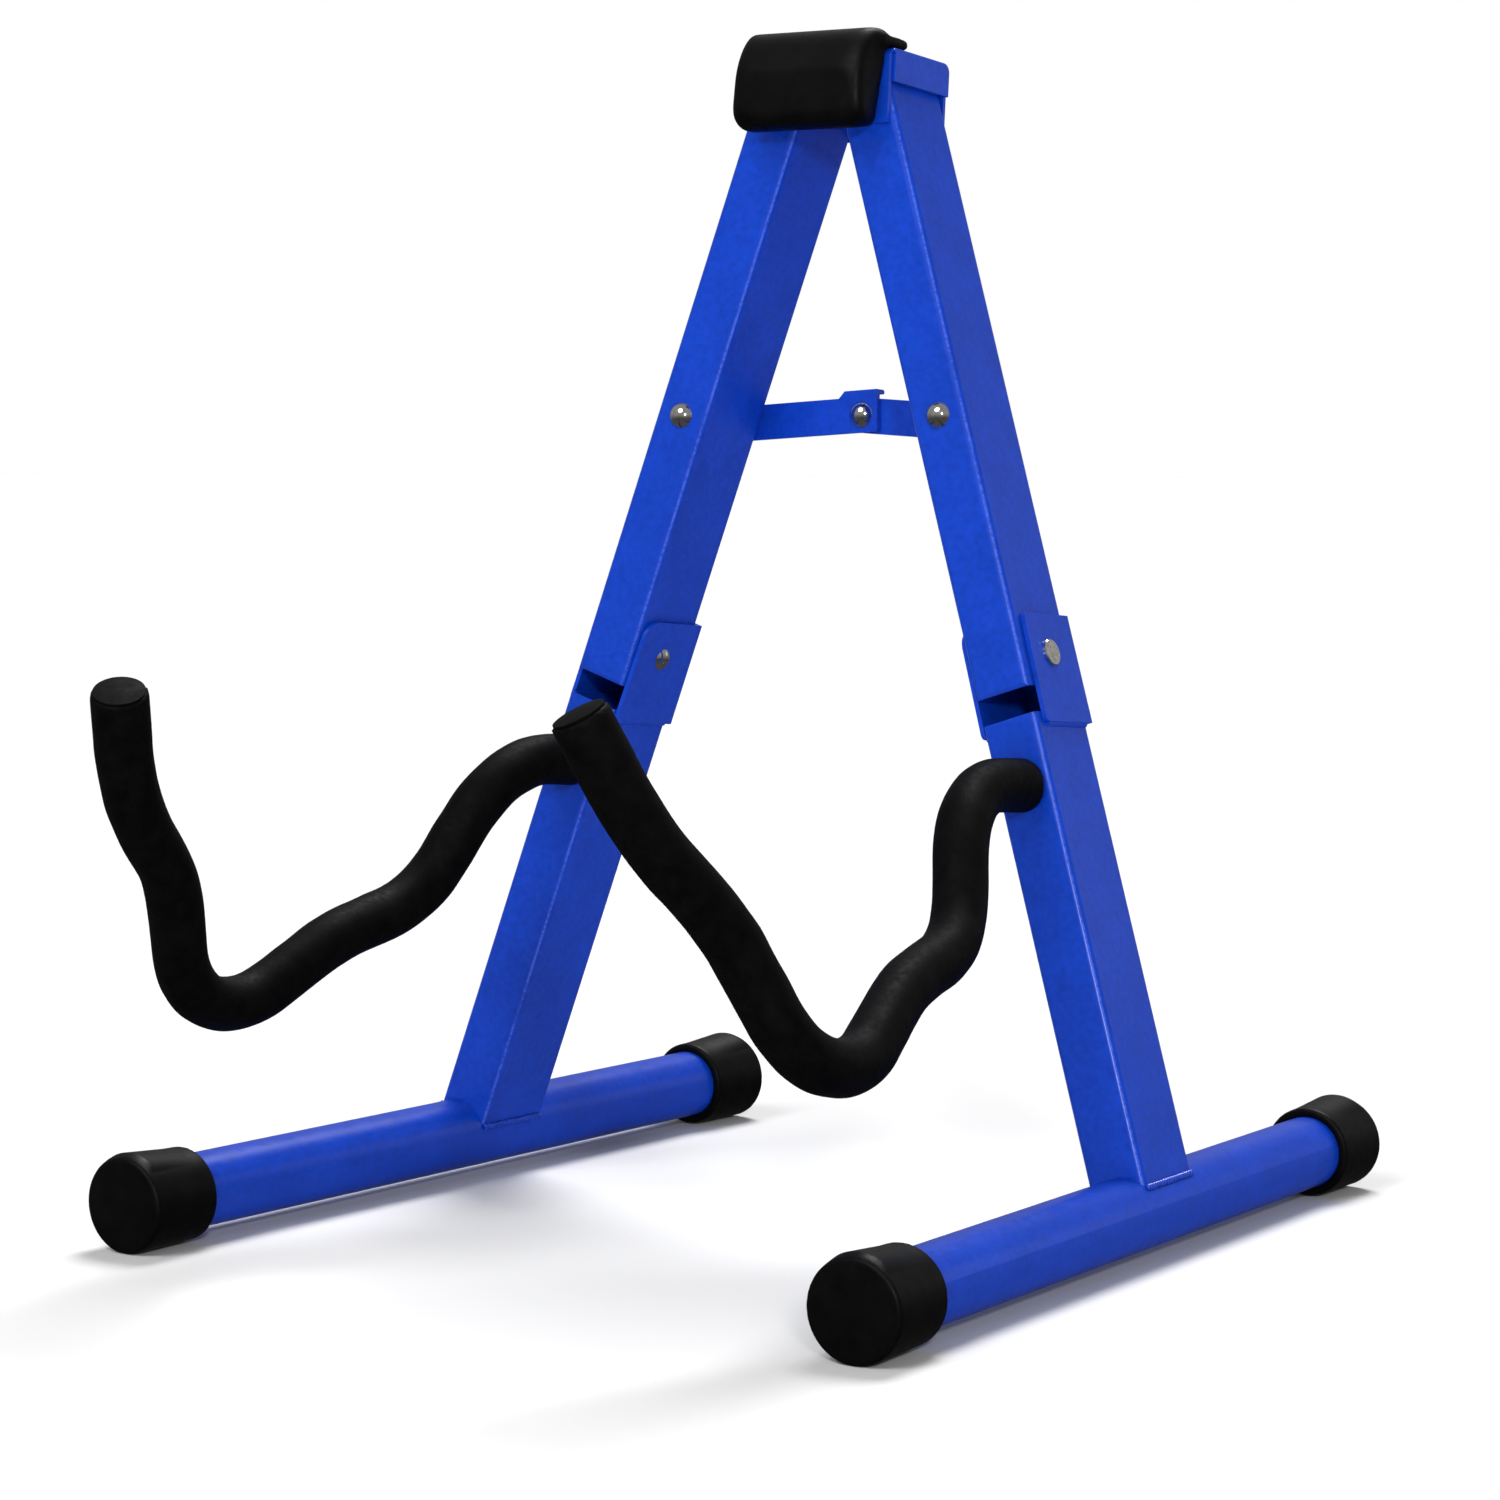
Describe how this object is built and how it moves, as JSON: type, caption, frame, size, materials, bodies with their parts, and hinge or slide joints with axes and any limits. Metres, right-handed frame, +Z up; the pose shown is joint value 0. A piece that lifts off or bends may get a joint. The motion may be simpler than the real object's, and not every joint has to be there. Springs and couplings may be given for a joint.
{
  "type": "folding guitar stand",
  "caption": "Folding A-frame guitar stand: two hinged flat-tube legs on round feet, padded head, linked spreader, and foam-covered cradle arms.",
  "frame": {"origin": "centre of the bounding box at floor level, under the stand", "axes": "+Z up, +X to the stand's right when it is seen from the front, +Y to the rear; cradle arms reach towards -Y"},
  "size_m": [0.318, 0.4142, 0.4105],
  "materials": {
    "blue_coat": "cobalt blue powder coat, satin gloss",
    "nickel": "bright nickel-plated rivets and screws",
    "foam": "matt black closed-cell foam sleeve",
    "moulded_pad": "satin black moulded rubber pad",
    "rubber_cap": "black moulded rubber",
    "rod_steel": "bare bent steel tube inside the foam",
    "weld": "painted weld bead"
  },
  "bodies": {
    "head": {"head_yoke": "blue_coat", "head_pins": "nickel", "neck_pad": "moulded_pad"},
    "right_upper_leg": {"right_upper_tube": "blue_coat", "right_link_rivet": "nickel", "right_link_spacer": "nickel"},
    "left_upper_leg": {"left_upper_tube": "blue_coat", "left_link_rivet": "nickel"},
    "right_brace": {"right_link": "blue_coat", "middle_rivet_rear": "nickel"},
    "left_brace": {"left_link": "blue_coat", "middle_rivet_front": "nickel"},
    "right_lower_leg": {"right_lower_tube": "blue_coat", "right_fold_bracket": "blue_coat", "right_bracket_weld": "weld", "right_fold_barrel": "nickel", "right_fold_screw": "nickel", "right_foot_tube": "blue_coat", "right_foot_cap_front": "rubber_cap", "right_foot_cap_rear": "rubber_cap", "right_foot_weld": "weld", "right_arm_rod": "rod_steel", "right_arm_foam": "foam", "right_arm_plug": "rubber_cap"},
    "left_lower_leg": {"left_lower_tube": "blue_coat", "left_fold_bracket": "blue_coat", "left_bracket_weld": "weld", "left_fold_barrel": "nickel", "left_fold_screw": "nickel", "left_foot_tube": "blue_coat", "left_foot_cap_front": "rubber_cap", "left_foot_cap_rear": "rubber_cap", "left_foot_weld": "weld", "left_arm_rod": "rod_steel", "left_arm_foam": "foam", "left_arm_plug": "rubber_cap"}
  },
  "joints": [
    {"name": "right_leg_close", "type": "hinge", "parent": "head", "child": "right_upper_leg", "pos_m": [0.01698, 0.07993, 0.3873], "axis": [0, 0.9969, -0.0785], "range_deg": [0, 18]},
    {"name": "left_leg_close", "type": "hinge", "parent": "head", "child": "left_upper_leg", "pos_m": [-0.01698, 0.07993, 0.3873], "axis": [0, 0.9969, -0.0785], "range_deg": [-18, 0]},
    {"name": "right_brace_fold", "type": "hinge", "parent": "right_upper_leg", "child": "right_brace", "pos_m": [0.05292, 0.07126, 0.27703], "axis": [0, 0.9969, -0.0785], "range_deg": [0, 49.77]},
    {"name": "left_brace_fold", "type": "hinge", "parent": "left_upper_leg", "child": "left_brace", "pos_m": [-0.05292, 0.07126, 0.27703], "axis": [0, 0.9969, -0.0785], "range_deg": [-49.77, 0]},
    {"name": "right_leg_fold", "type": "hinge", "parent": "right_upper_leg", "child": "right_lower_leg", "pos_m": [0.07974, 0.06478, 0.19474], "axis": [-0.9511, -0.0242, -0.3081], "range_deg": [0, 60]},
    {"name": "left_leg_fold", "type": "hinge", "parent": "left_upper_leg", "child": "left_lower_leg", "pos_m": [-0.07974, 0.06478, 0.19474], "axis": [-0.9511, 0.0242, 0.3081], "range_deg": [0, 60]}
  ],
  "couplings": [
    {"joint": "left_leg_close", "follows": "right_leg_close", "ratio": -1},
    {"joint": "right_brace_fold", "follows": "right_leg_close", "ratio": 2.764},
    {"joint": "left_brace_fold", "follows": "right_leg_close", "ratio": -2.764}
  ]
}
